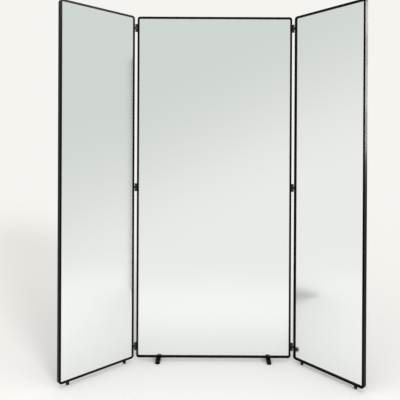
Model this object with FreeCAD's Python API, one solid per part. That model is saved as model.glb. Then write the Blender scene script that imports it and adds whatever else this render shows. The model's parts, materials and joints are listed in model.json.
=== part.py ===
"""Three-panel folding mirror screen: a wide centre panel and two narrower wings on hinges.

Frame: +Z up, +X to the right and -Y to the front, which is the side the mirrors face.
The origin is on the floor, in the middle of the rectangle that the screen covers as it is
stored, with both wings swung forward. Lengths are in millimetres, angles in degrees.
"""
import FreeCAD, Part
import math
import os

V = FreeCAD.Vector

# ---- driving dimensions: the panels ------------------------------------------------
centre_width = 800.0        # centre panel, over the frame
closing_gap = 4.0           # between the wings when both are closed over the centre
panel_height = 1765.0       # every frame, bottom rail to top rail
floor_clearance = 18.0      # floor to the underside of the frames
lip_width = 9.5             # what the frame covers, seen from the front
lip_depth = 5.5             # front of the lip to the glass
frame_wall = 2.5            # outer wall of the frame, behind the lip
corner_radius = 14.0        # outer corners of the frames
edge_round = 0.7            # the frames' outer edges, softened
rear_edge_round = 0.4

glass_thickness = 4.0
glass_play = 1.0            # between the glass edge and the frame wall
glass_arris = 0.4           # ground edge all round the glass
tape_thickness = 1.0        # bonding tape between glass and board
tape_width = 25.0
tape_spacing = 150.0        # about how far apart the strips are
tape_end_gap = 40.0         # strip ends to the frame wall
board_thickness = 9.0
board_play = 0.4            # between the board edge and the frame wall
rear_recess = 2.5           # back of the board to the back edge of the frame

# ---- driving dimensions: the hinges and the stored pose ----------------------------
hinge_gap = 12.0            # between the frames of two neighbouring panels, opened flat
hinge_lead = 2.0            # hinge axis ahead of the fronts of the frames
left_wing_angle = 43.0      # forward from flat, as stored
right_wing_angle = 48.0
hinge_height = 40.0
hinge_end_inset = 60.0      # panel end to the middle of the top and bottom hinges
leaf_thickness = 2.0
leaf_setback = 2.0          # back edge of the frame to the rear edge of a leaf
leaf_corner = 2.5
knuckle_play = 1.0          # between a knuckle and the frames beside it
knuckle_gap = 0.4           # between two knuckles, along the pin
knuckle_clearance = 0.8     # between a knuckle and the other leaf's notch
pin_radius = 2.5
pin_clearance = 0.05        # running clearance, radial
pin_overhang = 0.8          # domed pin head above and below the knuckles
hinge_screw_spread = 22.0   # between the two screws of a leaf

# ---- driving dimensions: the feet --------------------------------------------------
peg_radius = 7.5
peg_inset = 47.0            # wing end to the middle of a peg foot
peg_round = 2.5
foot_lead = 1.5             # foot fixings ahead of the board's middle
bar_width = 22.0
bar_inset = 115.0           # centre panel's end to the middle of a foot bar
bar_toe = 37.0              # how far a foot bar reaches ahead of the frame
bar_heel = 37.0             # and behind it
bar_corner = 5.0
bar_edge_round = 1.5
bar_seat_height = 2.0       # step that lifts the frame clear of the toe
pad_thickness = 2.0
pad_length = 20.0
pad_margin = 2.0            # bar edge to pad edge
bar_screw_edge = 1.0        # bar side to the counterbore of a screw
bar_screw_sink = 5.5        # underside of a foot bar to the seats of its screws
peg_screw_sink = 9.0        # floor to the seat of a peg foot's screw

# ---- driving dimensions: the screws ------------------------------------------------
side_screw_inset = 98.0     # panel end to the first and last screw in a stile
side_screw_count = 4
rail_screw_inset = 70.0     # panel side to the first and last screw in a rail
centre_rail_screw_count = 3
wing_rail_screw_count = 2
screw_clearance = 0.05      # round a screw in its hole, radial
WOOD_SCREW = {"shank": 1.75, "head": 3.5, "head_height": 1.8, "length": 18.0}
HINGE_SCREW = {"shank": 2.0, "head": 3.6, "head_height": 1.6, "length": 16.0}
FOOT_SCREW = {"shank": 2.0, "head": 3.8, "head_height": 1.8, "length": 22.0}
BAR_SCREW = {"shank": 2.0, "head": 3.8, "head_height": 1.8, "length": 26.0}
screw_tip = 3.0             # length of a screw's point
screw_tip_share = 0.2       # its blunt end, as a share of the shank
recess_width = 0.9          # arms of the cross recess in a head
recess_share = 0.6          # recess span and depth, as a share of the head's

# ---- what follows from them --------------------------------------------------------
wing_width = (centre_width - closing_gap) / 2
glass_front = lip_depth
tape_front = glass_front + glass_thickness
board_front = tape_front + tape_thickness
board_middle = board_front + board_thickness / 2
frame_depth = board_front + board_thickness + rear_recess
frame_bottom = floor_clearance
frame_top = frame_bottom + panel_height
hinge_axis_x = centre_width / 2 + hinge_gap / 2
leaf_offset = hinge_gap / 2 - leaf_thickness
leaf_reach = hinge_lead + frame_depth - leaf_setback
knuckle_radius = hinge_gap / 2 - knuckle_play
foot_setback = board_middle - foot_lead
counterbore_radius = BAR_SCREW["head"] + 2 * screw_clearance
bar_screw_spread = bar_width - 2 * (counterbore_radius + bar_screw_edge)
hinge_levels = {
    "top": frame_top - hinge_end_inset,
    "middle": (frame_bottom + frame_top) / 2,
    "bottom": frame_bottom + hinge_end_inset,
}
wing_start_x = centre_width / 2 + hinge_gap
wing_middle_x = wing_start_x + wing_width / 2
wing_angles = {"left": left_wing_angle, "right": right_wing_angle}


def reach(angle, along, depth):
    """Where a wing point lies beside and ahead of the centre: along is measured outward
    from the hinge axis, depth backward from it, before the wing is swung forward."""
    turn = math.radians(angle)
    beside = hinge_axis_x + along * math.cos(turn) + depth * math.sin(turn)
    ahead = hinge_lead + along * math.sin(turn) - depth * math.cos(turn)
    return beside, ahead


def footprint_middle():
    """The middle of the covered rectangle, from the middle of the centre panel's front."""
    wing_end = hinge_gap / 2 + wing_width
    left_side, _ = reach(left_wing_angle, wing_end, frame_depth + hinge_lead)
    right_side, _ = reach(right_wing_angle, wing_end, frame_depth + hinge_lead)
    front = max(reach(angle, wing_end, hinge_lead)[1] for angle in wing_angles.values())
    back = frame_depth + bar_heel
    return V((right_side - left_side) / 2, (back - front) / 2, 0)


ORIGIN = footprint_middle()


# ---- solids ------------------------------------------------------------------------
def box(x0, x1, y0, y1, z0, z1):
    return Part.makeBox(x1 - x0, y1 - y0, z1 - z0, V(x0, y0, z0))


def cylinder(radius, base, axis, length):
    return Part.makeCylinder(radius, length, base, axis)


def rounded_slab(width, height, radius, y0, y1, middle_x, z0):
    """An upright slab with round corners, between two depths."""
    x0, x1, z1 = middle_x - width / 2, middle_x + width / 2, z0 + height
    bow = radius * (1 - math.sqrt(0.5))
    corners = [
        (V(x1 - radius, y0, z0), V(x1 - bow, y0, z0 + bow), V(x1, y0, z0 + radius)),
        (V(x1, y0, z1 - radius), V(x1 - bow, y0, z1 - bow), V(x1 - radius, y0, z1)),
        (V(x0 + radius, y0, z1), V(x0 + bow, y0, z1 - bow), V(x0, y0, z1 - radius)),
        (V(x0, y0, z0 + radius), V(x0 + bow, y0, z0 + bow), V(x0 + radius, y0, z0)),
    ]
    edges = []
    for here, after in zip(corners, corners[1:] + corners[:1]):
        edges.append(Part.Arc(*here).toShape())
        edges.append(Part.LineSegment(here[2], after[0]).toShape())
    face = Part.Face(Part.Wire(edges))
    return face.extrude(V(0, y1 - y0, 0))


def edges_at_depth(solid, depth):
    """The edges of a solid that lie wholly at one depth."""
    flat = [e for e in solid.Edges
            if abs(e.BoundBox.YMin - depth) < 1e-6 and abs(e.BoundBox.YMax - depth) < 1e-6]
    return flat


def frame_ring(width, middle_x):
    """One bent and welded frame: a front lip, and a wall round the glass and the board."""
    outer = rounded_slab(width, panel_height, corner_radius, 0, frame_depth, middle_x, frame_bottom)
    outer = outer.makeFillet(edge_round, edges_at_depth(outer, 0))
    outer = outer.makeFillet(rear_edge_round, edges_at_depth(outer, frame_depth))
    window = rounded_slab(width - 2 * lip_width, panel_height - 2 * lip_width,
                          corner_radius - lip_width, -1, frame_depth, middle_x,
                          frame_bottom + lip_width)
    rebate = rounded_slab(width - 2 * frame_wall, panel_height - 2 * frame_wall,
                          corner_radius - frame_wall, lip_depth, frame_depth + 1, middle_x,
                          frame_bottom + frame_wall)
    return outer.cut(window).cut(rebate)


def infill(width, middle_x, play, y0, y1):
    """A sheet that lies in the frame's rebate, with play all round."""
    margin = frame_wall + play
    return rounded_slab(width - 2 * margin, panel_height - 2 * margin, corner_radius - margin,
                        y0, y1, middle_x, frame_bottom + margin)


def mirror_glass(width, middle_x):
    sheet = infill(width, middle_x, glass_play, glass_front, tape_front)
    ground = edges_at_depth(sheet, glass_front) + edges_at_depth(sheet, tape_front)
    return sheet.makeChamfer(glass_arris, ground)


def tape_strips(width, middle_x):
    """Upright strips of bonding tape, evenly spread between the glass and the board."""
    count = max(2, round(width / tape_spacing))
    usable = width - 2 * (frame_wall + tape_end_gap) - tape_width
    z0 = frame_bottom + frame_wall + tape_end_gap
    z1 = frame_top - frame_wall - tape_end_gap
    strips = []
    for i in range(count):
        x = middle_x + usable * (i / (count - 1) - 0.5)
        strips.append(box(x - tape_width / 2, x + tape_width / 2, tape_front, board_front, z0, z1))
    return Part.makeCompound(strips)


def screw(size, seat, into):
    """A countersunk screw: seat is the middle of its flush head, into the way it is driven."""
    shank = cylinder(size["shank"], seat, into, size["length"] - screw_tip)
    head = Part.makeCone(size["head"], size["shank"], size["head_height"], seat, into)
    point_start = seat + into * (size["length"] - screw_tip)
    point = Part.makeCone(size["shank"], size["shank"] * screw_tip_share, screw_tip, point_start, into)
    body = shank.fuse(head).fuse(point).removeSplitter()
    span = 2 * size["head"] * recess_share
    deep = size["head_height"] * recess_share
    arm = Part.makeBox(span, recess_width, 2 * deep, V(-span / 2, -recess_width / 2, -deep))
    other = arm.copy()
    other.rotate(V(0, 0, 0), V(0, 0, 1), 90)
    cross = arm.fuse(other)
    cross.Placement = FreeCAD.Placement(seat, FreeCAD.Rotation(V(0, 0, 1), into))
    return body.cut(cross)


def screw_hole(size, seat, into):
    """The countersunk hole that a screw fits, from a little outside its seat."""
    shank = cylinder(size["shank"] + screw_clearance, seat - into, into, size["length"] + 1)
    head = Part.makeCone(size["head"] + screw_clearance, size["shank"] + screw_clearance,
                         size["head_height"], seat, into)
    mouth = cylinder(size["head"] + screw_clearance, seat - into, into, 1)
    return shank.fuse([head, mouth])


def spread(count, inset, low, high):
    """Evenly spaced places between two ends, the first and last at an inset."""
    step = (high - low - 2 * inset) / (count - 1)
    return [low + inset + i * step for i in range(count)]


def board_screw_seats(width, middle_x, rail_count):
    """Where the screws go in through the frame's four sides, into the board's edges."""
    x0, x1 = middle_x - width / 2, middle_x + width / 2
    seats = []
    for z in spread(side_screw_count, side_screw_inset, frame_bottom, frame_top):
        seats.append((V(x0, board_middle, z), V(1, 0, 0)))
        seats.append((V(x1, board_middle, z), V(-1, 0, 0)))
    for x in spread(rail_count, rail_screw_inset, x0, x1):
        seats.append((V(x, board_middle, frame_bottom), V(0, 0, 1)))
        seats.append((V(x, board_middle, frame_top), V(0, 0, -1)))
    return seats


# ---- hinges, as they lie on the right with the wing opened flat --------------------
def knuckle_bands():
    """Heights of the three knuckles, from the middle of the hinge."""
    third = hinge_height / 3
    half_gap = knuckle_gap / 2
    edges = [-hinge_height / 2 + i * third for i in range(4)]
    return [(edges[0], edges[1] - half_gap), (edges[1] + half_gap, edges[2] - half_gap),
            (edges[2] + half_gap, edges[3])]


def hinge_leaf(level, toward, own_bands, other_bands):
    """A leaf against its stile, with knuckles round the pin. toward is -1 for the leaf on
    the centre panel and 1 for the leaf on the wing."""
    axis_y = -hinge_lead
    near = hinge_axis_x + toward * leaf_offset
    far = hinge_axis_x + toward * (leaf_offset + leaf_thickness)
    z0 = level - hinge_height / 2
    plate = box(min(near, far), max(near, far), axis_y, axis_y + leaf_reach, z0, z0 + hinge_height)
    rear = [e for e in plate.Edges
            if abs(e.BoundBox.YMin - (axis_y + leaf_reach)) < 1e-6 and e.BoundBox.XLength > 0.1]
    plate = plate.makeFillet(leaf_corner, rear)
    notch_reach = knuckle_radius + knuckle_clearance
    for low, high in other_bands:
        low_cut = low - knuckle_gap if low > -hinge_height / 2 + 1e-6 else low - 1
        high_cut = high + knuckle_gap if high < hinge_height / 2 - 1e-6 else high + 1
        plate = plate.cut(cylinder(notch_reach, V(hinge_axis_x, axis_y, level + low_cut),
                                   V(0, 0, 1), high_cut - low_cut))
        plate = plate.cut(box(min(near, far) - 1, max(near, far) + 1, axis_y - 1,
                              axis_y + knuckle_clearance, level + low_cut, level + high_cut))
    knuckles = [cylinder(knuckle_radius, V(hinge_axis_x, axis_y, level + low), V(0, 0, 1),
                         high - low) for low, high in own_bands]
    leaf = plate.fuse(knuckles).removeSplitter()
    bore = cylinder(pin_radius + pin_clearance, V(hinge_axis_x, axis_y, z0 - 1), V(0, 0, 1),
                    hinge_height + 2)
    return leaf.cut(bore)


def hinge_pin(level):
    """The pin, with a low domed head at each end that keeps it in the knuckles."""
    z0 = level - hinge_height / 2
    base = V(hinge_axis_x, -hinge_lead, z0)
    shaft = cylinder(pin_radius, base, V(0, 0, 1), hinge_height)
    head_radius = (pin_radius + knuckle_radius) / 2
    low = Part.makeCone(pin_radius, head_radius, pin_overhang, base - V(0, 0, pin_overhang), V(0, 0, 1))
    high = Part.makeCone(head_radius, pin_radius, pin_overhang, base + V(0, 0, hinge_height), V(0, 0, 1))
    return shaft.fuse([low, high]).removeSplitter()


def hinge_screw_seats(toward):
    """The two screws of each leaf, flush in its face and driven into the stile."""
    face_x = hinge_axis_x + toward * leaf_offset
    return [(V(face_x, board_middle, level + side * hinge_screw_spread / 2), V(toward, 0, 0))
            for level in hinge_levels.values() for side in (-1, 1)]


# ---- feet --------------------------------------------------------------------------
def peg_foot(x):
    """A round rubber foot under a wing, with its screw sunk well up inside it."""
    peg = cylinder(peg_radius, V(x, foot_setback, 0), V(0, 0, 1), floor_clearance)
    bottom = [e for e in peg.Edges if e.BoundBox.ZMax < 1e-6]
    peg = peg.makeFillet(peg_round, bottom)
    well = cylinder(FOOT_SCREW["head"] + 2 * screw_clearance, V(x, foot_setback, -1), V(0, 0, 1),
                    peg_screw_sink + 1)
    return peg.cut(well)


def peg_screw_seat(x):
    return V(x, foot_setback, peg_screw_sink), V(0, 0, 1)


def bar_screw_seats(x):
    """Two screws side by side, in counterbores under the middle of the bar."""
    z = pad_thickness + bar_screw_sink
    return [(V(x + side * bar_screw_spread / 2, foot_setback, z), V(0, 0, 1)) for side in (-1, 1)]


def foot_bar(x):
    """A steel bar under the centre panel, fore and aft, with a raised seat for the frame."""
    y0, y1 = -bar_toe, frame_depth + bar_heel
    top = floor_clearance - bar_seat_height
    bar = box(x - bar_width / 2, x + bar_width / 2, y0, y1, pad_thickness, top)
    upright = [e for e in bar.Edges if e.BoundBox.ZLength > top - pad_thickness - 1e-6]
    bar = bar.makeFillet(bar_corner, upright)
    rim = [e for e in bar.Edges if e.BoundBox.ZMin > top - 1e-6]
    bar = bar.makeFillet(bar_edge_round, rim)
    seat = box(x - bar_width / 2 + bar_edge_round, x + bar_width / 2 - bar_edge_round,
               edge_round, frame_depth - edge_round, top - bar_edge_round, floor_clearance)
    bar = bar.fuse(seat).removeSplitter()
    for at, into in bar_screw_seats(x):
        bar = bar.cut(cylinder(counterbore_radius, V(at.x, at.y, 0), into, at.z))
        bar = bar.cut(screw_hole(BAR_SCREW, at, into))
    return bar


def foot_pads(x):
    """Two rubber pads under a foot bar, at the toe and at the heel."""
    pads = []
    for y0 in (-bar_toe + pad_margin, frame_depth + bar_heel - pad_margin - pad_length):
        pad = box(x - bar_width / 2 + pad_margin, x + bar_width / 2 - pad_margin, y0,
                  y0 + pad_length, 0, pad_thickness)
        upright = [e for e in pad.Edges if e.BoundBox.ZLength > pad_thickness - 1e-6]
        pads.append(pad.makeFillet(bar_corner - pad_margin, upright))
    return Part.makeCompound(pads)


# ---- assembly ----------------------------------------------------------------------
os.makedirs("parts", exist_ok=True)


def drill(solid, seats, size):
    """Cut the holes that a set of screws needs."""
    for at, into in seats:
        solid = solid.cut(screw_hole(size, at, into))
    return solid


def screws(seats, size):
    return Part.makeCompound([screw(size, at, into) for at, into in seats])


def save(name, shape, side=None):
    """Place a sub-part in the row's frame and write it. A side's pieces are made for the
    right with the wing opened flat: the left is their mirror image."""
    shape = shape.copy()
    if side:
        if side[0] == "left":
            shape = shape.mirror(V(0, 0, 0), V(1, 0, 0))
        if side[1] == "wing":
            hand = 1 if side[0] == "left" else -1
            axis = V(-hand * hinge_axis_x, -hinge_lead, 0)
            shape.rotate(axis, V(0, 0, 1), hand * wing_angles[side[0]])
    shape.translate(ORIGIN * -1)
    shape.exportStep("parts/%s.step" % name)
    print(name, len(shape.Solids), "valid" if shape.isValid() else "INVALID",
          "%.1f cm3" % (shape.Volume / 1000))


def panel(prefix, width, middle_x, rail_count, hinge_seats, foot_seats, foot_size, sides):
    """The frame, glass, tape, board and board screws of one panel, drilled for what is
    screwed to it. sides lists (side, prefix) for each copy that is written."""
    board_seats = board_screw_seats(width, middle_x, rail_count)
    fixings = ((board_seats, WOOD_SCREW), (hinge_seats, HINGE_SCREW), (foot_seats, foot_size))
    ring = frame_ring(width, middle_x)
    board = infill(width, middle_x, board_play, board_front, board_front + board_thickness)
    for seats, size in fixings:
        ring = drill(ring, seats, size)
        board = drill(board, seats, size)
    pieces = {
        "frame": ring,
        "mirror_glass": mirror_glass(width, middle_x),
        "bonding_tape": tape_strips(width, middle_x),
        "backing_board": board,
        "board_screws": screws(board_seats, WOOD_SCREW),
    }
    for side, name in sides:
        for piece, shape in pieces.items():
            save("%s_%s" % (name, piece), shape, side)


bar_x = centre_width / 2 - bar_inset
peg_places = {"inner": wing_start_x + peg_inset, "outer": wing_start_x + wing_width - peg_inset}
bar_seats = bar_screw_seats(bar_x) + bar_screw_seats(-bar_x)
peg_seats = [peg_screw_seat(x) for x in peg_places.values()]
centre_leaf_seats = hinge_screw_seats(-1)
wing_leaf_seats = hinge_screw_seats(1)
mirrored = [(V(-at.x, at.y, at.z), V(-into.x, into.y, into.z)) for at, into in centre_leaf_seats]

panel("centre", centre_width, 0, centre_rail_screw_count, centre_leaf_seats + mirrored,
      bar_seats, BAR_SCREW, [(None, "centre")])
panel("wing", wing_width, wing_middle_x, wing_rail_screw_count, wing_leaf_seats, peg_seats,
      FOOT_SCREW, [((side, "wing"), side + "_wing") for side in wing_angles])

bands = knuckle_bands()
for side in wing_angles:
    for place, level in hinge_levels.items():
        stem = "%s_%s_hinge" % (side, place)
        fixed_leaf = hinge_leaf(level, -1, [bands[0], bands[2]], [bands[1]])
        wing_leaf = hinge_leaf(level, 1, [bands[1]], [bands[0], bands[2]])
        at_level = [(at, into) for at, into in centre_leaf_seats if abs(at.z - level) < hinge_height]
        save(stem + "_centre_leaf", drill(fixed_leaf, at_level, HINGE_SCREW), (side, "centre"))
        at_level = [(at, into) for at, into in wing_leaf_seats if abs(at.z - level) < hinge_height]
        save(stem + "_wing_leaf", drill(wing_leaf, at_level, HINGE_SCREW), (side, "wing"))
        save(stem + "_pin", hinge_pin(level), (side, "centre"))
    save("%s_centre_leaf_screws" % side, screws(centre_leaf_seats, HINGE_SCREW), (side, "centre"))
    save("%s_wing_leaf_screws" % side, screws(wing_leaf_seats, HINGE_SCREW), (side, "wing"))
    for place, x in peg_places.items():
        foot = drill(peg_foot(x), [peg_screw_seat(x)], FOOT_SCREW)
        save("%s_wing_%s_foot" % (side, place), foot, (side, "wing"))
    save("%s_wing_foot_screws" % side, screws(peg_seats, FOOT_SCREW), (side, "wing"))
    save("%s_foot_bar" % side, foot_bar(bar_x), (side, "centre"))
    save("%s_foot_bar_pads" % side, foot_pads(bar_x), (side, "centre"))
save("foot_bar_screws", screws(bar_seats, BAR_SCREW))
print("origin lies at", ORIGIN, "from the middle of the centre panel's front")
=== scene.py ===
# %% [markdown]
# # A folding mirror screen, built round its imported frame
#
# The screen is three framed mirrors on hinges: a wide centre panel that stands on two foot
# bars, and two wings that stand on round rubber feet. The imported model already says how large
# each part is and where it stands. Here each part gets the shape and the finish that the eye
# meets: softened edges, round barrels, ground glass, powder coat. Everything is in metres and
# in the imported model's own frame, so nothing has to be fitted by eye.

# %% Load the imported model
import json
import math

import bpy
import numpy as np
from mathutils import Matrix, Vector

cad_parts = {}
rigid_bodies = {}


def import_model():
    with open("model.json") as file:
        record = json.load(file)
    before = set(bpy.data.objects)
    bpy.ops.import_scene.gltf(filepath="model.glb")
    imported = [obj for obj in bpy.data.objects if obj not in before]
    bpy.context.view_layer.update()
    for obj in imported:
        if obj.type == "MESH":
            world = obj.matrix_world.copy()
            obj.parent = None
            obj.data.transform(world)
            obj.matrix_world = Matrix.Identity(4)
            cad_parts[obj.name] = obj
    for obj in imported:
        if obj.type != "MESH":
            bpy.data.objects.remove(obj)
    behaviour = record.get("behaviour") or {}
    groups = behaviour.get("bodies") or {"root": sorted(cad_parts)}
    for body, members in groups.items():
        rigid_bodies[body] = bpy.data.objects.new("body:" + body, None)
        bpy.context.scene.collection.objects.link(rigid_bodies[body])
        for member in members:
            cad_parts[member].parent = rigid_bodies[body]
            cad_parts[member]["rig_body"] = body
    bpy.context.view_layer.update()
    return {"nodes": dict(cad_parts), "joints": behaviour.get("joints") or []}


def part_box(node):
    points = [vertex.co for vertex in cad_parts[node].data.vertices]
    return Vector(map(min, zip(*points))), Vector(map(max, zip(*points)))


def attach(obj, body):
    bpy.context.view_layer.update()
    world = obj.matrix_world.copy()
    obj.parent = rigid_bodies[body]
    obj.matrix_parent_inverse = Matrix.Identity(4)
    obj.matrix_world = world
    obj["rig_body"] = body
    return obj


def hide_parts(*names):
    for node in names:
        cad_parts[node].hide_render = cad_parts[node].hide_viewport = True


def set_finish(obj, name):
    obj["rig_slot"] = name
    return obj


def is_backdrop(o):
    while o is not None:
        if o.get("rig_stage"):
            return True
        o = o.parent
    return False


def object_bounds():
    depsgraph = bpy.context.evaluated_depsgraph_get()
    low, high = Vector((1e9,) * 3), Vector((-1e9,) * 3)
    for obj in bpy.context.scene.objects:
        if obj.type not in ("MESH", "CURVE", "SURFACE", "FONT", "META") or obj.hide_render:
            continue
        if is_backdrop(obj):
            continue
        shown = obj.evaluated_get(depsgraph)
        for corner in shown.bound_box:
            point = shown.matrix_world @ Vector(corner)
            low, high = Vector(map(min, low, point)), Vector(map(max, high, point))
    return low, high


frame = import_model()
NODES = frame["nodes"]
MM = 0.001

# %% [markdown]
# ## Where the three panels stand
#
# Every part of a panel is easiest to describe as if the panel stood square in front of us:
# x across from its middle, y back from its front face, z up from its lower edge. A wing is
# then turned about the upright axis of its hinge. The joints say how far: a wing closes until
# it lies over the centre, half a turn from flat, so half a turn less its closing range is the
# angle that it stands at now. The panel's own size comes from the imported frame's corner
# points, turned back by that angle.

# %% Panels: turn, place and size
JOINTS = {joint["child"]: joint for joint in frame["joints"]}


def turned(points, angle):
    """Points (n, 3) turned about the upright axis: x' = x cos a - y sin a, y' = x sin a + y cos a."""
    c, s = math.cos(angle), math.sin(angle)
    x, y, z = np.moveaxis(np.asarray(points, float), -1, 0)
    return np.stack([x * c - y * s, x * s + y * c, z], axis=-1)


def corner_points(node):
    """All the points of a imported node, as an array."""
    mesh = NODES[node].data
    points = np.empty(len(mesh.vertices) * 3, np.float32)
    mesh.vertices.foreach_get("co", points)
    return points.reshape(-1, 3).astype(float)


class Panel:
    """One framed mirror: how it is turned, how large it is, and where its own zero lies."""

    def __init__(self, name):
        joint = JOINTS.get(name)
        self.name = name
        self.turn = math.radians(180 - joint["range_deg"][1]) * joint["axis"][2] if joint else 0.0
        points = turned(corner_points(name + "_frame"), -self.turn)
        low, high = points.min(0), points.max(0)
        self.width, self.depth, self.height = high - low
        self.zero = turned([(low[0] + high[0]) / 2, low[1], low[2]], self.turn)

    def place(self, points):
        """Points in the panel's own directions, put where the panel stands."""
        return turned(points, self.turn) + self.zero


centre, left_wing, right_wing = Panel("centre"), Panel("left_wing"), Panel("right_wing")
PANELS = [centre, left_wing, right_wing]
for panel in PANELS:
    print(panel.name, "turned", round(math.degrees(panel.turn), 2), "degrees, size",
          np.round([panel.width, panel.depth, panel.height], 5))

# %% [markdown]
# ## Surfaces from whole arrays
#
# A surface here is a grid of points: one row of the grid for each step along a path, one
# column for each point of the outline that is carried along it. numpy works out all the
# points at once, and the quads follow from the grid's own numbering. Three small helpers are
# enough: one makes the quads, one stacks closed outlines and closes both ends, and one turns
# the result into a Blender object, checks that it faces outward and hands it to its body.

# %% Helpers for surfaces and pieces
def quads(rows, columns, wrap_rows, first=0):
    """Faces of a grid whose columns close on themselves: point (i, j) joins (i, j+1), (i+1, j+1)
    and (i+1, j)."""
    i = np.arange(rows if wrap_rows else rows - 1)[:, None]
    j = np.arange(columns)[None, :]
    k, m = (i + 1) % rows, (j + 1) % columns
    corners = [i * columns + j, i * columns + m, k * columns + m, k * columns + j]
    return (np.stack(np.broadcast_arrays(*corners), axis=-1).reshape(-1, 4) + first).tolist()


def ring(points):
    """A closed surface from points (rows, columns, 3): both directions close on themselves."""
    rows, columns = points.shape[:2]
    return points.reshape(-1, 3), quads(rows, columns, True)


def stack(points):
    """A solid from closed outlines (rows, columns, 3), one above the other, with both ends filled."""
    rows, columns = points.shape[:2]
    count = rows * columns
    ends = [list(range(columns))[::-1], list(range(count - columns, count))]
    return points.reshape(-1, 3), quads(rows, columns, False) + ends


def together(shapes):
    """Several shapes as one: each shape's face numbers start after the points before it."""
    starts = np.cumsum([0] + [len(points) for points, _ in shapes])
    faces = [[n + start for n in face] for (_, faces), start in zip(shapes, starts) for face in faces]
    return np.concatenate([points for points, _ in shapes]), faces


def enclosed(mesh):
    """The volume inside a mesh, from its triangles: the sum of a . (b x c) / 6. Negative is inside out."""
    mesh.calc_loop_triangles()
    at = np.empty(len(mesh.loop_triangles) * 3, np.int32)
    mesh.loop_triangles.foreach_get("vertices", at)
    points = np.empty(len(mesh.vertices) * 3, np.float32)
    mesh.vertices.foreach_get("co", points)
    a, b, c = np.moveaxis(points.reshape(-1, 3).astype(float)[at.reshape(-1, 3)], 1, 0)
    return float((a * np.cross(b, c)).sum() / 6)


SHARP = math.radians(35)


def piece(name, shape, body, slot, finishes, replaced=(), picks=None):
    """A Blender object from a shape. Edges that turn by more than SHARP stay crisp. picks gives
    each face's finish by number where a piece has more than one."""
    points, faces = shape
    mesh = bpy.data.meshes.new(name)
    mesh.from_pydata(points.tolist(), [], faces)
    for finish in finishes:
        mesh.materials.append(finish)
    if picks is not None:
        mesh.polygons.foreach_set("material_index", picks)
    mesh.polygons.foreach_set("use_smooth", [True] * len(mesh.polygons))
    mesh.set_sharp_from_angle(angle=SHARP)
    if enclosed(mesh) < 0:
        mesh.flip_normals()
    mesh.update()
    made = bpy.data.objects.new(name, mesh)
    bpy.context.scene.collection.objects.link(made)
    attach(made, body)
    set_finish(made, slot)
    if replaced:
        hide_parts(*replaced)
    print(name, len(mesh.vertices), "points,", round(enclosed(mesh) * 1e6, 2), "cm3")
    return made


print("helpers ready: ring, stack, together, piece")

# %% [markdown]
# ## Outlines with soft corners
#
# Real edges are never perfectly sharp, and the thin light line that a rounded edge catches is
# what makes metal look like metal. A Bevel modifier would give the same line, but its width
# runs into trouble at the small lips here, so the rounding is part of the outline itself. One
# helper rounds the right-angled corners of a profile. Another carries a profile round a
# rectangle with round corners, which is how a bent frame is made. Each adds a holding point
# just past a curve, so that the flat beside it is shaded as flat.

# %% Rounded profiles and rounded rectangles
def soft(corners, rounds, steps=4, hold=0.12 * MM):
    """A profile (n, 2) with quarter rounds: at a corner p, with u toward the point before and v
    toward the point after, the round is p + r (u + v) - r (u sin t + v cos t), t from 0 to 90."""
    corners = np.array(corners, float)
    back, ahead = np.roll(corners, 1, 0) - corners, np.roll(corners, -1, 0) - corners
    back /= np.linalg.norm(back, axis=1, keepdims=True)
    ahead /= np.linalg.norm(ahead, axis=1, keepdims=True)
    t = np.linspace(0, math.pi / 2, steps + 1)[:, None]
    runs = []
    for p, u, v, r in zip(corners, back, ahead, rounds):
        if r:
            bend = p + r * (u + v) - r * (np.sin(t) * u + np.cos(t) * v)
            runs += [[p + (r + hold) * u], bend, [p + (r + hold) * v]]
        else:
            runs.append([p])
    return np.concatenate(runs)


def round_rectangle(width, height, radius, inset, steps=12, hold=1.5 * MM):
    """Two arrays (stations, insets): across and up, round a rectangle whose corners have a radius.
    At a corner with its middle at c, station angle a gives c + (radius - inset)(cos a, sin a)."""
    quarter = np.linspace(0, math.pi / 2, steps + 1)
    quarter = np.concatenate([[0], quarter, [math.pi / 2]])
    slide = np.zeros(len(quarter))
    slide[0], slide[-1] = -hold, hold
    angle = (np.arange(4)[:, None] * math.pi / 2 + quarter).ravel()[:, None]
    slide = np.tile(slide, 4)[:, None]
    side = np.repeat([[1, 1], [-1, 1], [-1, -1], [1, -1]], len(quarter), axis=0)
    r = radius - np.asarray(inset, float)[None, :]
    across = side[:, :1] * (width / 2 - radius) + np.cos(angle) * r - np.sin(angle) * slide
    up = side[:, 1:] * (height / 2 - radius) + np.sin(angle) * r + np.cos(angle) * slide
    return across, up


def upright_slab(width, height, radius, inset, depth, steps=12):
    """Outlines for stack(): rounded rectangles standing upright, each with its inset and its depth."""
    across, up = round_rectangle(width, height, radius, inset, steps)
    back = np.broadcast_to(np.asarray(depth, float), across.shape)
    return np.stack([across, back, up + height / 2], axis=-1).transpose(1, 0, 2)


def lying_slab(width, length, radius, inset, level, middle, steps=8):
    """Outlines for stack(): rounded rectangles lying flat, each with its inset and its level."""
    across, along = round_rectangle(width, length, radius, inset, steps, hold=0.3 * MM)
    up = np.broadcast_to(np.asarray(level, float), across.shape)
    flat = np.stack([across + middle[0], along + middle[1], up], axis=-1)
    return flat.transpose(1, 0, 2)


def turned_stack(radius, level, steps=40):
    """Outlines for stack(): circles on the upright axis, as a lathe cuts them, radius by level."""
    angle = np.linspace(0, 2 * math.pi, steps, endpoint=False)[None, :]
    radius, level = np.asarray(radius, float)[:, None], np.asarray(level, float)[:, None]
    return np.stack(np.broadcast_arrays(radius * np.cos(angle), radius * np.sin(angle), level), axis=-1)


def moved(shape, way):
    """A shape whose points have gone through a function."""
    return way(shape[0]), shape[1]


print("a soft square has", len(soft([(0, 0), (1, 0), (1, 1), (0, 1)], [0.1] * 4)), "points")

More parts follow.
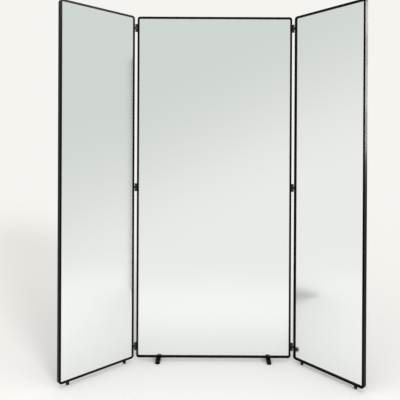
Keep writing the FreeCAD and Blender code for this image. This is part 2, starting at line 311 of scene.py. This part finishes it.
# %% [markdown]
# ## Shader maths as Python
#
# A finish is a network of nodes. Written one node at a time it is long and hard to read, so a
# socket is wrapped in a small class whose plus, minus and times each add a Math node. Colours
# need Mix nodes, because a Math node turns a colour grey. Everything else comes from one
# method that takes the node's type, its settings and what goes into its sockets.

# %% Sockets with operators, and the Finish class
class Signal:
    """A number or a colour on its way between nodes."""

    def __init__(self, finish, socket):
        self.finish, self.socket = finish, socket

    def maths(self, operation, first, second=0.0):
        inputs = {0: first, 1: second}
        return self.finish.node("ShaderNodeMath", {"operation": operation}, inputs)

    def __add__(self, other):
        return self.maths("ADD", self, other)

    def __sub__(self, other):
        return self.maths("SUBTRACT", self, other)

    def __rsub__(self, other):
        return self.maths("SUBTRACT", other, self)

    def __mul__(self, other):
        return self.maths("MULTIPLY", self, other)

    def __truediv__(self, other):
        return self.maths("DIVIDE", self, other)

    def __pow__(self, other):
        return self.maths("POWER", self, other)

    __radd__, __rmul__ = __add__, __mul__

    def rise(self, low, high):
        """0 below low, 1 above high, and a smooth step between."""
        settings = {"interpolation_type": "SMOOTHSTEP"}
        return self.finish.node("ShaderNodeMapRange", settings,
                                {"Value": self, "From Min": low, "From Max": high})


def tone(red, green, blue):
    """A screen colour from 0 to 255 as the linear light that it stands for, with alpha."""
    screen = np.array([red, green, blue]) / 255
    light = np.where(screen <= 0.04045, screen / 12.92, ((screen + 0.055) / 1.055) ** 2.4)
    return (*map(float, light), 1.0)


class Finish:
    """A material: its nodes, and the one shader that they feed."""

    def __init__(self, name, **constants):
        self.material = bpy.data.materials.new(name)
        self.material.use_nodes = True
        self.tree = self.material.node_tree
        self.shader = self.tree.nodes["Principled BSDF"]
        self.where = self.node("ShaderNodeTexCoord", {}, {}, "Object")
        for socket, value in constants.items():
            self.shader.inputs[socket.replace("_", " ")].default_value = value

    def node(self, kind, settings, inputs, output=0):
        """Any node: its settings first, then a value or a signal for each socket."""
        made = self.tree.nodes.new(kind)
        for name, value in settings.items():
            setattr(made, name, value)
        for name, value in inputs.items():
            if isinstance(value, Signal):
                self.tree.links.new(value.socket, made.inputs[name])
            else:
                made.inputs[name].default_value = value
        return Signal(self, made.outputs[output])

    def noise(self, scale, detail=2.0, roughness=0.5, at=None):
        """Cloudy noise, scale in features per metre."""
        inputs = {"Vector": at or self.where, "Scale": scale, "Detail": detail, "Roughness": roughness}
        return self.node("ShaderNodeTexNoise", {}, inputs)

    def cells(self, scale):
        """Distance to the nearest of many scattered points."""
        return self.node("ShaderNodeTexVoronoi", {}, {"Vector": self.where, "Scale": scale})

    def mix(self, share, first, second):
        """A colour between two colours."""
        return self.node("ShaderNodeMix", {"data_type": "RGBA"}, {0: share, 6: first, 7: second}, 2)

    def stretched(self, x, y, z):
        """Where we are, with each direction scaled: a pattern drawn out along the small one."""
        inputs = {"Vector": self.where, "Scale": (x, y, z)}
        return self.node("ShaderNodeMapping", {}, inputs)

    def feed(self, **signals):
        """Signals into the shader's own sockets, such as Base_Color and Roughness."""
        for name, signal in signals.items():
            self.tree.links.new(signal.socket, self.shader.inputs[name.replace("_", " ")])
        return self.material

    def relief(self, height, distance, strength=1.0):
        """A Bump node: height 0 to 1 stands for that distance."""
        inputs = {"Height": height, "Distance": distance, "Strength": strength}
        return self.node("ShaderNodeBump", {}, inputs)


print("sRGB 128 is", round(tone(128, 128, 128)[0], 3), "of full light")

# %% [markdown]
# ## Powder coat
#
# The frames are steel with a fine black powder coat. Powder melts into a skin with a very
# slight orange peel, about a millimetre from dimple to dimple, and it shines softly, mostly
# at a slant. Paint would be smoother and bare steel far brighter. So the colour hardly
# varies, the roughness varies a little, and a very shallow bump carries the peel.

# %% Finishes for the black metal parts
def powder_coat(name, dark, light, roughness, gloss):
    finish = Finish(name, Specular_IOR_Level=gloss)
    cloud = finish.noise(9, 3)
    grain = finish.noise(2600, 2)
    peel = finish.noise(700, 2)
    colour = finish.mix((cloud * 0.6 + grain * 0.4).rise(0.35, 0.65), dark, light)
    rough = cloud.rise(0.3, 0.7) * 0.08 + grain * 0.06 + (roughness - 0.07)
    return finish.feed(Base_Color=colour, Roughness=rough,
                       Normal=finish.relief(peel * 0.7 + grain * 0.3, 0.05 * MM, 0.6))


def pressed_steel(name, dark, light, roughness, gloss):
    """Blackened steel: a draw grain along one way, and a cloudy blackening over it."""
    finish = Finish(name, Specular_IOR_Level=gloss)
    drawn = finish.noise(1, 3, at=finish.stretched(1800, 1800, 120))
    cloud = finish.noise(60, 3)
    colour = finish.mix((cloud * 0.7 + drawn * 0.3).rise(0.35, 0.65), dark, light)
    return finish.feed(Base_Color=colour, Roughness=drawn * 0.12 + cloud * 0.08 + (roughness - 0.1),
                       Normal=finish.relief(drawn, 0.01 * MM, 0.5))


def plated_steel(name, dark, light, roughness, grain_scale):
    """Bare or plated metal: bright, with a fine tumbled grain."""
    finish = Finish(name, Metallic=1.0)
    grain, cloud = finish.noise(grain_scale, 3), finish.noise(160, 2)
    colour = finish.mix(cloud.rise(0.3, 0.7), dark, light)
    return finish.feed(Base_Color=colour, Roughness=grain * 0.2 + (roughness - 0.1),
                       Normal=finish.relief(grain, 0.01 * MM, 0.6))


FRAME_BLACK = powder_coat("frame_powder_coat", tone(7, 7, 6), tone(11, 11, 10), 0.34, 0.045)
BAR_BLACK = powder_coat("bar_powder_coat", tone(8, 8, 8), tone(13, 13, 13), 0.45, 0.08)
HINGE_BLACK = pressed_steel("hinge_steel", tone(20, 20, 20), tone(32, 32, 31), 0.38, 0.4)
SCREW_BLACK = pressed_steel("black_screws", tone(14, 14, 14), tone(26, 26, 26), 0.36, 0.35)
PIN_STEEL = plated_steel("pin_steel", tone(96, 96, 94), tone(128, 127, 124), 0.34, 1500)
ZINC = plated_steel("zinc_screws", tone(168, 172, 176), tone(196, 200, 202), 0.3, 1200)
print("metal finishes:", [m.name for m in bpy.data.materials])

# %% [markdown]
# ## Mirror glass
#
# The mirrors show no sharp image of the room, only a pale green-grey light that grows from
# the upper left to the lower right. That is a mirror in a white studio, slightly softened. A
# perfectly sharp mirror would show the neighbouring wing's edge as a hard line, so the
# reflection is spread a little, and the slow change of light is a painted reflection: a ramp
# in the glass's base colour, darker to the upper left and lighter to the lower right. The painted
# ramp follows the height and the place across the screen, so it stays on the glass. The
# ground edge is the deep green that thick glass has, and the back is grey mirror paint.

# %% Finishes for the glass, the tape, the board and the rubber
def mirror_front():
    finish = Finish("mirror_front", Metallic=1.0)
    across = finish.node("ShaderNodeSeparateXYZ", {}, {"Vector": finish.where}, "X")
    up = Signal(finish, across.socket.node.outputs["Z"])
    # painted reflection: the base colour runs from a darker to a lighter green-grey across the glass,
    # standing in for the light that the mirror throws back
    painted_reflection_ramp = (across * 0.48 - up + 1.12).rise(-0.46, 0.48)
    colour = finish.mix(painted_reflection_ramp, (0.69, 0.743, 0.738, 1), (0.9, 0.922, 0.922, 1))
    haze = finish.noise(2.2, 2)
    return finish.feed(Base_Color=colour, Roughness=haze * 0.02 + 0.09)


def ground_edge():
    finish = Finish("ground_glass_edge", Specular_IOR_Level=0.5)
    grit = finish.noise(3000, 2)
    colour = finish.mix(grit, tone(70, 104, 92), tone(116, 150, 136))
    return finish.feed(Base_Color=colour, Roughness=grit * 0.2 + 0.35,
                       Normal=finish.relief(grit, 0.03 * MM))


def mirror_paint():
    finish = Finish("mirror_back_paint", Specular_IOR_Level=0.4)
    streak = finish.noise(1, 3, at=finish.stretched(400, 400, 12))
    colour = finish.mix(streak, tone(92, 96, 98), tone(112, 116, 118))
    return finish.feed(Base_Color=colour, Roughness=streak * 0.1 + 0.45,
                       Normal=finish.relief(streak, 0.02 * MM))


def faced_board():
    """The dark melamine face of the backing board, with the pearl of a press plate."""
    finish = Finish("board_face", Specular_IOR_Level=0.3)
    pearl, cloud = finish.noise(1500, 2), finish.noise(5, 3)
    fibre = finish.noise(1, 2, at=finish.stretched(260, 260, 60))
    colour = finish.mix((cloud * 0.6 + fibre * 0.4).rise(0.3, 0.7), tone(38, 37, 36), tone(48, 47, 45))
    return finish.feed(Base_Color=colour, Roughness=pearl * 0.16 + 0.46,
                       Normal=finish.relief(pearl * 0.6 + fibre * 0.4, 0.06 * MM, 0.7))


def raw_board():
    """The sawn edge of medium-density fibreboard: pale brown, with short fibres along it."""
    finish = Finish("board_edge", Specular_IOR_Level=0.2)
    fibre = finish.noise(1, 4, 0.6, at=finish.stretched(900, 900, 300))
    colour = finish.mix(fibre.rise(0.3, 0.7), tone(128, 98, 66), tone(170, 138, 100))
    return finish.feed(Base_Color=colour, Roughness=fibre * 0.1 + 0.8,
                       Normal=finish.relief(fibre, 0.1 * MM))


def foam(name, dark, light):
    """Closed-cell foam: small round cells, quite matt."""
    finish = Finish(name, Specular_IOR_Level=0.15)
    cell = finish.cells(2200)
    colour = finish.mix(cell.rise(0.1, 0.6), dark, light)
    return finish.feed(Base_Color=colour, Roughness=cell * 0.1 + 0.8,
                       Normal=finish.relief(cell, 0.08 * MM))


def moulded_rubber(name, dark, light):
    """Moulded rubber: nearly black, matt, with the faint texture of the mould."""
    finish = Finish(name, Specular_IOR_Level=0.25)
    skin, cloud = finish.noise(1900, 3), finish.noise(90, 2)
    colour = finish.mix(cloud.rise(0.3, 0.7), dark, light)
    return finish.feed(Base_Color=colour, Roughness=skin * 0.14 + 0.62,
                       Normal=finish.relief(skin, 0.05 * MM))


MIRROR, EDGE, PAINT = mirror_front(), ground_edge(), mirror_paint()
BOARD_FACE, BOARD_EDGE = faced_board(), raw_board()
TAPE = foam("bonding_foam", tone(196, 196, 192), tone(226, 226, 222))
RUBBER = moulded_rubber("black_rubber", tone(16, 16, 16), tone(26, 26, 26))
print(len(bpy.data.materials), "finishes so far")

# %% [markdown]
# ## The frames
#
# Each frame is one length of folded steel, bent round four corners: a narrow lip in front of
# the glass and a thin wall round its edge. That is a profile carried round a rectangle. The
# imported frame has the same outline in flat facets, so the new one stands for it, with its
# curves drawn finely and its edges softened.

# %% Frames
LIP_WIDTH, LIP_DEPTH, FRAME_WALL = 9.5 * MM, 5.5 * MM, 2.5 * MM
CORNER_RADIUS = 14 * MM


def frame_shape(panel):
    """The L-shaped profile, as (inset from the outline, depth), carried round the panel."""
    corners = [(0, 0), (LIP_WIDTH, 0), (LIP_WIDTH, LIP_DEPTH), (FRAME_WALL, LIP_DEPTH),
               (FRAME_WALL, panel.depth), (0, panel.depth)]
    rounds = np.array([0.7, 0.3, 0.3, 0, 0.3, 0.4]) * MM
    inset, depth = soft(corners, rounds).T
    across, up = round_rectangle(panel.width, panel.height, CORNER_RADIUS, inset)
    back = np.broadcast_to(depth, across.shape)
    return ring(np.stack([across, back, up + panel.height / 2], axis=-1))


for panel in PANELS:
    piece(panel.name + "_powder_coated_frame", moved(frame_shape(panel), panel.place), panel.name,
          "frame_black", [FRAME_BLACK], [panel.name + "_frame"])

# %% [markdown]
# ## The mirrors and their boards
#
# A mirror is a sheet of glass whose edges are ground to a small slope, an arris, so that they
# don't cut. Behind it a board keeps it flat. Both are stacks of one outline: the outline
# draws in where the edge slopes. A face's number in the stack says which finish it has.

# %% Mirror glass and backing boards
GLASS_INSET, GLASS_THICKNESS, ARRIS = 3.5 * MM, 4 * MM, 0.4 * MM
BOARD_INSET, BOARD_FRONT, BOARD_THICKNESS, BOARD_EASE = 2.9 * MM, 10.5 * MM, 9 * MM, 0.3 * MM


def sheet_shape(panel, inset, front, thickness, ease):
    """A sheet with sloping edges: the outline draws in by ease at the front and at the back."""
    insets = inset + np.array([ease + 1 * MM, ease, 0, 0, ease, ease + 1 * MM])
    depths = front + np.array([0, 0, ease, thickness - ease, thickness, thickness])
    return stack(upright_slab(panel.width, panel.height, CORNER_RADIUS, insets, depths))


def sheet_picks(shape, front, sides, back):
    """The finish of each face: two rows of quads lie in the front and back planes, three round the edge."""
    columns = (len(shape[1]) - 2) // 5
    return np.concatenate([np.repeat([front, sides, sides, sides, back], columns), [front, back]])


for panel in PANELS:
    glass = sheet_shape(panel, GLASS_INSET, LIP_DEPTH, GLASS_THICKNESS, ARRIS)
    piece(panel.name + "_silvered_mirror", moved(glass, panel.place), panel.name, "mirror",
          [MIRROR, EDGE, PAINT], [panel.name + "_mirror_glass"], sheet_picks(glass, 0, 1, 2))
    board = sheet_shape(panel, BOARD_INSET, BOARD_FRONT, BOARD_THICKNESS, BOARD_EASE)
    piece(panel.name + "_faced_board", moved(board, panel.place), panel.name, "board",
          [BOARD_FACE, BOARD_EDGE], [panel.name + "_backing_board"], sheet_picks(board, 1, 1, 0))

# %% [markdown]
# ## Screw heads
#
# The boards are held by small black screws through the frame's sides. Only their heads show:
# low domes with a cross recess. A head is a round grid of points, ring by ring from its
# middle, and its height is a function of where a point lies: a dome, less the depth of the
# cross. The rings are closer together where the recess has its walls.

# %% A screw head as a height over a round grid
def head_shape(radius, dome, skirt, arm, reach, deep, steps=64):
    """A dome (1 - r^2) less a cross: a bar is deep where |x| is under arm and |y| under reach,
    with walls that slope over a quarter of the arm, and the cross is the deeper of two bars."""
    share = np.array([0.001, 0.1, 0.16, 0.22, 0.28, 0.36, 0.46, 0.54, 0.6, 0.66, 0.76, 0.88, 0.96, 1.0, 1.0])
    angle = np.linspace(0, 2 * math.pi, steps, endpoint=False)[None, :]
    r = share[:, None] * radius
    x, y = r * np.cos(angle), r * np.sin(angle)
    slope = arm / 3
    near = lambda value, limit: np.clip((limit + slope - np.abs(value)) / slope, 0, 1)
    cross = np.maximum(near(x, arm) * near(y, reach), near(y, arm) * near(x, reach))
    height = dome * (1 - share[:, None] ** 2) - deep * cross
    height[-1] = -skirt
    height[-2] = 0.03 * MM
    return stack(np.stack([x, y, height], axis=-1))


def seated(shape, seats, outward):
    """Copies of a shape whose own up is outward, one at each seat. Both are arrays (n, 3)."""
    seats, outward = np.asarray(seats, float), np.asarray(outward, float)
    helper = np.where(np.abs(outward[:, 2:]) > 0.9, [[1.0, 0, 0]], [[0, 0, 1.0]])
    side = np.cross(helper, outward)
    side /= np.linalg.norm(side, axis=1, keepdims=True)
    third = np.cross(outward, side)
    x, y, z = (shape[0][None, :, i, None] for i in range(3))
    every = seats[:, None] + x * side[:, None] + y * third[:, None] + z * outward[:, None]
    return together([(points, shape[1]) for points in every])


BOARD_MIDDLE = 15 * MM
SIDE_INSET, RAIL_INSET = 98 * MM, 70 * MM
RAIL_COUNT = {"centre": 3, "left_wing": 2, "right_wing": 2}
board_head = head_shape(3.4 * MM, 0.35 * MM, 0.6 * MM, 0.4 * MM, 1.9 * MM, 0.8 * MM)
for panel in PANELS:
    levels = np.linspace(SIDE_INSET, panel.height - SIDE_INSET, 4)
    places = np.linspace(RAIL_INSET - panel.width / 2, panel.width / 2 - RAIL_INSET, RAIL_COUNT[panel.name])
    seats = [(side * panel.width / 2, BOARD_MIDDLE, z) for side in (-1, 1) for z in levels]
    ways = [(side, 0, 0) for side in (-1, 1) for z in levels]
    seats += [(x, BOARD_MIDDLE, z) for z in (0, panel.height) for x in places]
    ways += [(0, 0, way) for way in (-1, 1) for x in places]
    heads = seated(board_head, panel.place(seats), turned(ways, panel.turn))
    piece(panel.name + "_screw_heads", heads, panel.name, "black_screws", [SCREW_BLACK],
          [panel.name + "_board_screws"])

# %% [markdown]
# ## Hinges
#
# Six hinges, three at each side, join the wings to the centre. A leaf is flat steel rolled
# round the pin at its front edge into barrels: two on the centre's leaf, one between them on
# the wing's. The cross-section of a barrel is drawn as a line round the pin that leaves it at
# a tangent and runs into the leaf, and it is stacked along the pin with a small chamfer at
# each end. The pin itself has a low domed head at both ends.

# %% Hinge leaves, barrels and pins
LEAF_NEAR, LEAF_FAR, LEAF_REAR, LEAF_START = 4 * MM, 6 * MM, 22 * MM, 5 * MM
BARREL = 5 * MM
HINGE_TALL, BARREL_GAP, END_INSET = 40 * MM, 0.4 * MM, 60 * MM
HINGE_LEAD = centre.zero[1] - JOINTS["left_wing"]["pos_m"][1]
LEVELS = {"top": centre.height - END_INSET, "middle": centre.height / 2, "bottom": END_INSET}
SCREW_SPREAD, SCREW_BACK = 22 * MM, HINGE_LEAD + BOARD_MIDDLE
print("the hinge axes lie", round(HINGE_LEAD / MM, 2), "mm ahead of the frames")


def barrel_outline(steps=36, leave=-45):
    """Round the pin from where the inner face of the leaf meets the barrel, the long way, to the
    angle at which a tangent runs to the leaf's outer face; then back along that face."""
    start = math.atan2(math.sqrt(BARREL ** 2 - LEAF_NEAR ** 2), LEAF_NEAR)
    angle = np.linspace(start, math.radians(360 + leave), steps)
    curve = BARREL * np.stack([np.cos(angle), np.sin(angle)], axis=-1)
    end, run = math.radians(leave), (LEAF_FAR - curve[-1, 0]) / -math.sin(math.radians(leave))
    meet = curve[-1] + run * np.array([-math.sin(end), math.cos(end)])
    corner = meet + np.array([[-0.35 * MM, -0.25 * MM], [-0.08 * MM, 0.02 * MM], [0, 0.4 * MM]])
    stub = [(LEAF_FAR, LEAF_START), (LEAF_NEAR, LEAF_START)]
    return np.concatenate([curve, corner, stub])


def drawn_in(outline, inset):
    """An outline (n, 2) moved inward: each point goes along the mean normal of its two sides."""
    along = np.roll(outline, -1, 0) - np.roll(outline, 1, 0)
    along /= np.linalg.norm(along, axis=1, keepdims=True)
    inward = np.stack([-along[:, 1], along[:, 0]], axis=-1)
    return outline + inset * inward


def barrel_shape(low, high, chamfer=0.3 * MM):
    """The barrel's outline stacked from low to high, drawn in a little at both ends."""
    insets, levels = [chamfer, 0, 0, chamfer], [low, low + chamfer, high - chamfer, high]
    rows = [np.column_stack([drawn_in(barrel_outline(), inset), np.full(len(barrel_outline()), level)])
            for inset, level in zip(insets, levels)]
    return stack(np.array(rows))


def plate_shape(tall, ease=0.25 * MM):
    """The flat of a leaf: an outline in depth and height with its rear corners rounded, stacked
    across from the inner face to the outer."""
    half = tall / 2
    corners = [(LEAF_START, -half), (LEAF_REAR, -half), (LEAF_REAR, half), (LEAF_START, half)]
    outline = soft(corners, [0, 2.5 * MM, 2.5 * MM, 0], steps=8)
    middle = outline.mean(0)
    rows = [np.column_stack([np.full(len(outline), across), middle + (outline - middle) * (1 - shrink)])
            for across, shrink in ((LEAF_NEAR, 0.03), (LEAF_NEAR + ease, 0), (LEAF_FAR, 0))]
    return stack(np.array(rows))


def barrel_bands():
    """The three barrels' lower and upper ends, from the middle of the hinge, a gap apart."""
    edges = np.linspace(-HINGE_TALL / 2, HINGE_TALL / 2, 4)
    gap = BARREL_GAP / 2
    return [(edges[0], edges[1] - gap), (edges[1] + gap, edges[2] - gap), (edges[2] + gap, edges[3])]


def hinge_way(joint, turn, toward, level):
    """From the leaf's own directions (x toward the stile, y back, z from the hinge's middle) to
    where it stands. toward is -1 or 1 for the leaf that lies on that side of the pin."""
    axis = np.array([joint["pos_m"][0], joint["pos_m"][1], centre.zero[2] + level])
    return lambda points: turned(points * np.array([toward, 1, 1]), turn) + axis


leaf_head = head_shape(3.5 * MM, 0.3 * MM, 0.5 * MM, 0.42 * MM, 2.0 * MM, 0.8 * MM)
bands = barrel_bands()
for side, outward in (("left", -1), ("right", 1)):
    wing = left_wing if side == "left" else right_wing
    joint = JOINTS[wing.name]
    for leaf, body, turn, toward, own in (("centre", "centre", 0, -outward, (0, 2)),
                                          ("wing", wing.name, wing.turn, outward, (1,))):
        heads = []
        for place, level in LEVELS.items():
            way = hinge_way(joint, turn, toward, level)
            parts = [plate_shape(HINGE_TALL)] + [barrel_shape(*bands[i]) for i in own]
            node = "%s_%s_hinge_%s_leaf" % (side, place, leaf)
            piece(node.replace("_leaf", "_rolled_leaf"), moved(together(parts), way), body,
                  "hinge_black", [HINGE_BLACK], [node])
            seats = [(LEAF_NEAR, SCREW_BACK, z) for z in (-SCREW_SPREAD / 2, SCREW_SPREAD / 2)]
            heads.append(moved(seated(leaf_head, seats, [(-1, 0, 0)] * 2), way))
        piece("%s_%s_leaf_screw_heads" % (side, leaf), together(heads), body, "black_screws",
              [SCREW_BLACK], ["%s_%s_leaf_screws" % (side, leaf)])
    for place, level in LEVELS.items():
        radii = np.array([0.6, 2.0, 3.2, 3.7, 3.75, 2.5]) * MM
        tops = HINGE_TALL / 2 + np.array([0.8, 0.74, 0.5, 0.2, 0, 0]) * MM
        pin = stack(turned_stack(np.concatenate([radii, radii[::-1]]), np.concatenate([-tops, tops[::-1]])))
        piece("%s_%s_hinge_steel_pin" % (side, place), moved(pin, hinge_way(joint, 0, 1, level)),
              "centre", "pin_steel", [PIN_STEEL], ["%s_%s_hinge_pin" % (side, place)])

# %% [markdown]
# ## Feet
#
# Each wing stands on two round rubber feet, and the centre on two steel bars that lie fore
# and aft with a rubber pad under each end. A foot is a lathe shape, with a shallow groove
# where its mould parts. A bar is a stack of one rounded outline that draws in over its last
# millimetre and a half, with a raised seat that carries the frame.

# %% Rubber feet
PEG_INSET, PEG_BACK = 47 * MM, 13.5 * MM


def peg_shape(tall):
    """Radius by level up the outside, from the edge of the screw's well to the top."""
    bend = np.linspace(0, math.pi / 2, 7)
    low_radius = 5 + 2.5 * np.sin(bend)
    low_level = 2.5 - 2.5 * np.cos(bend)
    radius = np.concatenate([[1.0, 3.9, 3.9, 4.2], low_radius, [7.5, 7.5, 7.1, 7.1, 7.5, 7.5, 7.2, 6.5]])
    level = np.concatenate([[9.0, 9.0, 0.3, 0], low_level, [2.7, 13.0, 13.4, 13.9, 14.3, 17.4, 17.9, 18.0]])
    return stack(turned_stack(radius * MM, level * MM * tall / (18 * MM), 48))


for wing, hand in ((left_wing, -1), (right_wing, 1)):
    for place, way in (("inner", -hand), ("outer", hand)):
        x = way * (wing.width / 2 - PEG_INSET)
        foot = peg_shape(centre.zero[2])
        at = np.array([x, PEG_BACK, -centre.zero[2]])
        piece("%s_%s_rubber_foot" % (wing.name, place), moved(foot, lambda p: wing.place(p + at)),
              wing.name, "rubber", [RUBBER], ["%s_%s_foot" % (wing.name, place)])

# %% Foot bars and their pads
BAR_WIDTH, BAR_CORNER, BAR_EDGE, SEAT_STEP = 22 * MM, 5 * MM, 1.5 * MM, 2 * MM
PAD_MARGIN, PAD_LENGTH = 2 * MM, 20 * MM
WELL_RADIUS, WELL_TOP, WELL_SPREAD = 3.9 * MM, 7.5 * MM, 6.1 * MM


def bar_shape(low, high):
    """The bar from its packed box: an outline that draws in by 1 - cos over the top edge, and a
    narrower seat on it, between the front and the back of the frame."""
    middle = (low + high) / 2
    top = high[2] - SEAT_STEP
    bend = np.linspace(0, math.pi / 2, 6)
    insets = np.concatenate([[1.2, 0.4, 0, 0], 1.5 - 1.5 * np.cos(bend), [2.2]]) * MM
    levels = np.concatenate([[low[2], low[2], low[2] + 0.4 * MM, top - BAR_EDGE - 0.2 * MM],
                             top - BAR_EDGE + BAR_EDGE * np.sin(bend), [top]])
    bar = stack(lying_slab(BAR_WIDTH, high[1] - low[1], BAR_CORNER, insets, levels, middle))
    seat_insets = np.array([0, 0, 0.15, 0.4, 0.9]) * MM
    seat_levels = np.array([top - 1 * MM, high[2] - 0.4 * MM, high[2] - 0.15 * MM, high[2], high[2]])
    seat_middle = (middle[0], centre.zero[1] + centre.depth / 2)
    seat = stack(lying_slab(BAR_WIDTH - 2 * BAR_EDGE, centre.depth - 1.4 * MM, 1 * MM, seat_insets,
                            seat_levels, seat_middle))
    return together([bar, seat])


def pads_shape(low, high):
    """Two rubber pads, one at each end of the bar, with an eased lower edge."""
    insets, levels = np.array([0.9, 0.3, 0, 0, 0.9]) * MM, np.array([0, 0, 0.3, 2, 2]) * MM
    reach = (high[1] - low[1] - PAD_LENGTH) / 2
    middle = (low + high) / 2
    return together([stack(lying_slab(high[0] - low[0], PAD_LENGTH, BAR_CORNER - PAD_MARGIN, insets, levels,
                                      (middle[0], middle[1] + way * reach))) for way in (-1, 1)])


def bored(made, holes):
    """Holes cut out of a piece with a Boolean modifier, whose result becomes the piece's mesh."""
    cutter = piece("cutter", holes, "centre", "bar_black", [BAR_BLACK])
    cut = made.modifiers.new("wells", "BOOLEAN")
    cut.operation, cut.solver, cut.object = "DIFFERENCE", "EXACT", cutter
    graph = bpy.context.evaluated_depsgraph_get()
    mesh = bpy.data.meshes.new_from_object(made.evaluated_get(graph))
    made.modifiers.clear()
    made.data = mesh
    mesh.set_sharp_from_angle(angle=SHARP)
    bpy.data.objects.remove(cutter)
    print(made.name, "bored:", round(enclosed(mesh) * 1e6, 2), "cm3")


for side in ("left", "right"):
    low, high = (np.array(corner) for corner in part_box(side + "_foot_bar"))
    bar = piece(side + "_coated_bar", bar_shape(low, high), "centre", "bar_black", [BAR_BLACK],
                [side + "_foot_bar"])
    well = stack(turned_stack([WELL_RADIUS, WELL_RADIUS], [0, WELL_TOP], 32))
    places = [np.array([(low[0] + high[0]) / 2 + way * WELL_SPREAD, centre.zero[1] + PEG_BACK, 0])
              for way in (-1, 1)]
    bored(bar, together([moved(well, lambda p, at=at: p + at) for at in places]))
    low, high = (np.array(corner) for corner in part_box(side + "_foot_bar_pads"))
    piece(side + "_rubber_pads", pads_shape(low, high), "centre", "rubber", [RUBBER],
          [side + "_foot_bar_pads"])

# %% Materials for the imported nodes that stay
for name, node in NODES.items():
    if node.hide_render:
        continue
    finish = TAPE if name.endswith("_tape") else ZINC
    for place in node.material_slots:
        place.material = finish
    print("kept", name, finish.name)

# %% [markdown]
# ## The studio
#
# A pale floor that runs on to the horizon, and a pale sky all round, give the seamless
# background. For the floor to meet the sky without a line, what the floor throws back must
# equal the sky's own light. Sky light and a broad sun add up on the floor, so its colour is
# the sky's light divided by their sum. The sun comes from the front right and leaves soft
# shadows to the left.
#
# Three small lights each touch one thing only, which is what light linking is for. Two give
# the coated metal of the wings its sheen, and the third lifts the floor close in front, where
# the screen itself hides half the sky.
#
# One liberty is taken. Two mirrors that face each other would show each other's frames, as
# they do in a real room, and that would break up the calm surfaces. So the left wing is left
# out of all reflections. Remove the last loop of this cell to see it reflected.

# %% Sky, floor, sun and the light on the metal
scene = bpy.context.scene
scene.view_settings.view_transform = "Standard"
SKY = np.array(tone(245, 244, 240)[:3])
SUN_POWER, SUN_HEIGHT, SUN_FROM, SUN_SOFT = 1.5, 18.0, 34.0, 16.0

world = bpy.data.worlds.new("pale_studio")
world.use_nodes = True
world.node_tree.nodes["Background"].inputs["Color"].default_value = (*map(float, SKY), 1)
scene.world = world

h, a = math.radians(SUN_HEIGHT), math.radians(SUN_FROM)
TO_SUN = np.array([math.cos(h) * math.sin(a), -math.cos(h) * math.cos(a), math.sin(h)])

FLOOR_RADIUS, FLOOR_CORNERS = 90, 96
around = np.linspace(0, 2 * math.pi, FLOOR_CORNERS, endpoint=False)
rim = FLOOR_RADIUS * np.column_stack([np.cos(around), np.sin(around), np.zeros(FLOOR_CORNERS)])
floor_mesh = bpy.data.meshes.new("floor")
floor_mesh.from_pydata(rim.tolist(), [], [list(range(FLOOR_CORNERS))])
albedo = SKY / (SKY + SUN_POWER * TO_SUN[2] / math.pi)
paper = Finish("floor_paper", Specular_IOR_Level=0.0, Roughness=1.0, Base_Color=(*albedo, 1))
floor_mesh.materials.append(paper.material)
floor = bpy.data.objects.new("floor", floor_mesh)
scene.collection.objects.link(floor)
floor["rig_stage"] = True


def aimed(name, kind, at, toward, **settings):
    """A light at a place, looking toward another."""
    data = bpy.data.lights.new(name, kind)
    for key, value in settings.items():
        setattr(data, key, value)
    light = bpy.data.objects.new(name, data)
    scene.collection.objects.link(light)
    light.location = at
    back = Vector(at) - Vector(toward)
    light.rotation_euler = back.to_track_quat("Z", "Y").to_euler()
    light.visible_camera = False
    return light


sun = aimed("broad_sun", "SUN", tuple(5 * TO_SUN), (0, 0, 0), energy=SUN_POWER,
            angle=math.radians(SUN_SOFT))
sun.visible_glossy = False


def only(name, things):
    """A collection of the only things that a light touches."""
    group = bpy.data.collections.new(name)
    for thing in things:
        group.objects.link(thing)
    return group


def metal_of(body):
    """The black metal pieces that ride on a body."""
    slots = ("frame_black", "hinge_black", "black_screws")
    return [x for x in scene.objects if x.get("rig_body") == body and x.get("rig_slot") in slots]


side_light = aimed("side_softbox", "AREA", (2.9, 0.42, 1.9), (0.7, -0.14, 1.5), energy=140,
                   shape="RECTANGLE", size=0.8, size_y=1.6)
high_light = aimed("high_softbox", "AREA", (2.3, -1.1, 3.0), (-0.5, -0.1, 1.7), energy=90,
                   shape="RECTANGLE", size=0.8, size_y=0.5)
side_light.light_linking.receiver_collection = only("right_metal", metal_of("right_wing"))
high_light.light_linking.receiver_collection = only("left_metal", metal_of("left_wing"))
fill = aimed("floor_fill", "AREA", (0, -0.6, 1.0), (0, -0.3, 0), energy=3.0,
             shape="RECTANGLE", size=1.7, size_y=0.5)
fill.visible_glossy = False
fill.light_linking.receiver_collection = only("floor_only", [floor])
for thing in scene.objects:
    if thing.get("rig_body") == "left_wing":
        thing.visible_glossy = False

# %% [markdown]
# ## The camera
#
# The camera stands about two and a quarter metres ahead of the screen at chest height, level
# and square to it. The screen lies low in the picture, so the lens is shifted down, as on a
# view camera, which keeps the uprights upright.

# %% Camera
CAMERA_AT = (0.01715, -2.18885, 1.101)
CAMERA_TURN, CAMERA_TILT, CAMERA_ROLL = 0.00029, -0.0027, 0.00479
LENS_IN_PICTURES = 446.51 / 400  # focal length as a share of the picture's width
lens = bpy.data.cameras.new("camera")
lens.sensor_width = 36
lens.lens = 36 * LENS_IN_PICTURES
lens.shift_x, lens.shift_y = -0.03805, -0.125
camera = bpy.data.objects.new("camera", lens)
scene.collection.objects.link(camera)
facing = (Matrix.Rotation(CAMERA_TURN, 3, "Z") @ Matrix.Rotation(CAMERA_TILT, 3, "X")
          @ Matrix.Rotation(-CAMERA_ROLL, 3, "Y") @ Matrix.Rotation(math.pi / 2, 3, "X"))
camera.rotation_euler = facing.to_euler()
camera.location = CAMERA_AT
scene.camera = camera
print("lens", round(lens.lens, 2), "mm")

# %% Sizes, and the end
low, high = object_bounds()
